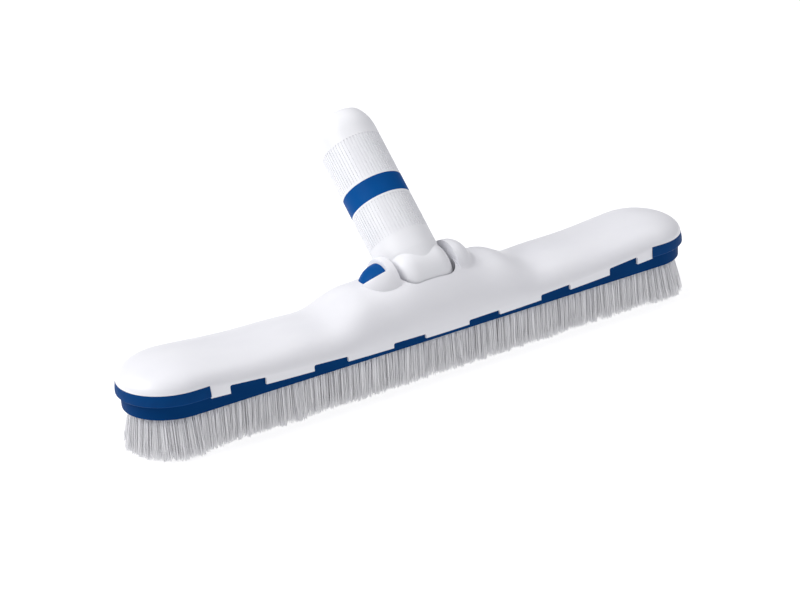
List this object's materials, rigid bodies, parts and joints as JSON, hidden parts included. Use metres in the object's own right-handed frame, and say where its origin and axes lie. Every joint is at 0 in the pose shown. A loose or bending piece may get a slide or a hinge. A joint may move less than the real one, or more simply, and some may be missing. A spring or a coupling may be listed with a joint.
{
  "type": "pool wall brush",
  "caption": "Long round-ended pool wall brush with tufted nylon bristles, soft end bumpers and a tilting twist-lock pole socket.",
  "frame": {"origin": "centre of the plane that the bristle tips rest on, at the end of the middle tuft", "axes": "+X along the brush, +Y towards the side that the handle leans to, +Z away from the bristles"},
  "size_m": [0.457, 0.1423, 0.1676],
  "materials": {
    "white_plastic": "satin moulded ABS",
    "blue_plastic": "satin moulded polypropylene",
    "bumper_rubber": "soft moulded thermoplastic rubber",
    "bristle_nylon": "crimped translucent nylon filament",
    "anchor_brass": "plain wire",
    "stainless_steel": "plain stainless",
    "bush_acetal": "natural acetal",
    "collet_acetal": "natural acetal"
  },
  "bodies": {
    "head": {"back_shell": "white_plastic", "bristle_base": "blue_plastic", "end_bumper_right": "bumper_rubber", "end_bumper_left": "bumper_rubber", "bristles_row_front": "bristle_nylon", "bristles_row_front_inner": "bristle_nylon", "bristles_row_middle": "bristle_nylon", "bristles_row_rear_inner": "bristle_nylon", "bristles_row_rear": "bristle_nylon", "bristles_end_right": "bristle_nylon", "bristles_end_left": "bristle_nylon", "tuft_anchors": "anchor_brass", "base_screws": "stainless_steel", "pivot_bolt": "stainless_steel", "pivot_nut": "stainless_steel", "pivot_washers": "stainless_steel", "pivot_cap": "blue_plastic"},
    "handle": {"handle_sleeve": "white_plastic", "hub_bushes": "bush_acetal", "pole_collet": "collet_acetal"},
    "ring": {"lock_ring": "blue_plastic"},
    "nut": {"clamp_nut": "white_plastic"}
  },
  "joints": [
    {"name": "handle_tilt", "type": "hinge", "parent": "head", "child": "handle", "pos_m": [0, 0, 0.0645], "axis": [1, 0, 0], "range_deg": [-14, 46]},
    {"name": "ring_slide", "type": "slide", "parent": "handle", "child": "ring", "axis": [0, 0.7193, 0.6947], "range_m": [0, 0.00305]},
    {"name": "nut_twist", "type": "hinge", "parent": "ring", "child": "nut", "pos_m": [0, 0, 0.0645], "axis": [0, 0.7193, 0.6947], "range_deg": [0, 270]}
  ],
  "couplings": [
    {"joint": "ring_slide", "follows": "nut_twist", "m_per_rad": 0.00063662}
  ]
}
